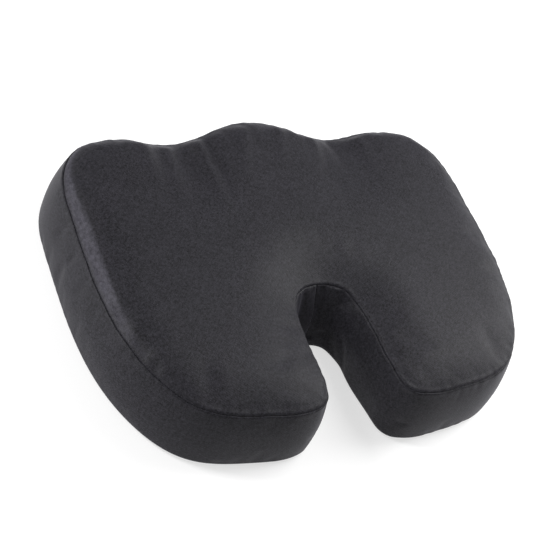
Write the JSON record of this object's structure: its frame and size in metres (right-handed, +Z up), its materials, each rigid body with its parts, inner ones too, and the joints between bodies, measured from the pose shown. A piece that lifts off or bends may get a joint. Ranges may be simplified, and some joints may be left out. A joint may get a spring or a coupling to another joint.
{
  "type": "seat cushion",
  "caption": "U-shaped foam seat cushion with a tailbone notch, two thigh channels, a sewn charcoal cover and a zipper along the front wall.",
  "frame": {"origin": "middle of the cushion's box, on the surface that it lies on", "axes": "+Z up, +Y towards the front edge where the thighs lie, +X to the sitter's right, and the tailbone notch opens towards -Y"},
  "size_m": [0.4514, 0.3453, 0.0741],
  "materials": {
    "cover_velour": "matt charcoal velour with a fine heathered nap",
    "base_cloth": "matt black woven cloth",
    "grip_rubber": "satin black printed rubber",
    "memory_foam": "matt open-cell foam",
    "zipper_tape": "matt black herringbone tape",
    "zipper_coil": "satin black monofilament",
    "slider_metal": "semi-gloss black enamel",
    "stop_metal": "dull steel"
  },
  "bodies": {
    "cushion": {"foam_core": "memory_foam", "top_panel": "cover_velour", "side_band_left": "cover_velour", "side_band_right": "cover_velour", "front_band_upper": "cover_velour", "front_band_lower": "cover_velour", "bottom_panel": "base_cloth", "grip_dots": "grip_rubber", "zipper_tape_upper": "zipper_tape", "zipper_tape_lower": "zipper_tape", "zipper_coil_upper": "zipper_coil", "zipper_coil_lower": "zipper_coil", "zipper_top_stops": "stop_metal", "zipper_bottom_stop": "stop_metal"},
    "slider": {"zipper_slider": "slider_metal"},
    "pull_tab": {"zipper_pull_tab": "slider_metal"}
  },
  "joints": [
    {"name": "slider_travel", "type": "slide", "parent": "cushion", "child": "slider", "axis": [1, 0, 0], "range_m": [-0.28, 0], "deforming": ["zipper_coil_upper", "zipper_coil_lower"]},
    {"name": "tab_hinge", "type": "hinge", "parent": "slider", "child": "pull_tab", "pos_m": [0.14, 0.16515, 0.02], "axis": [0, 0, -1], "range_deg": [0, 170]}
  ]
}
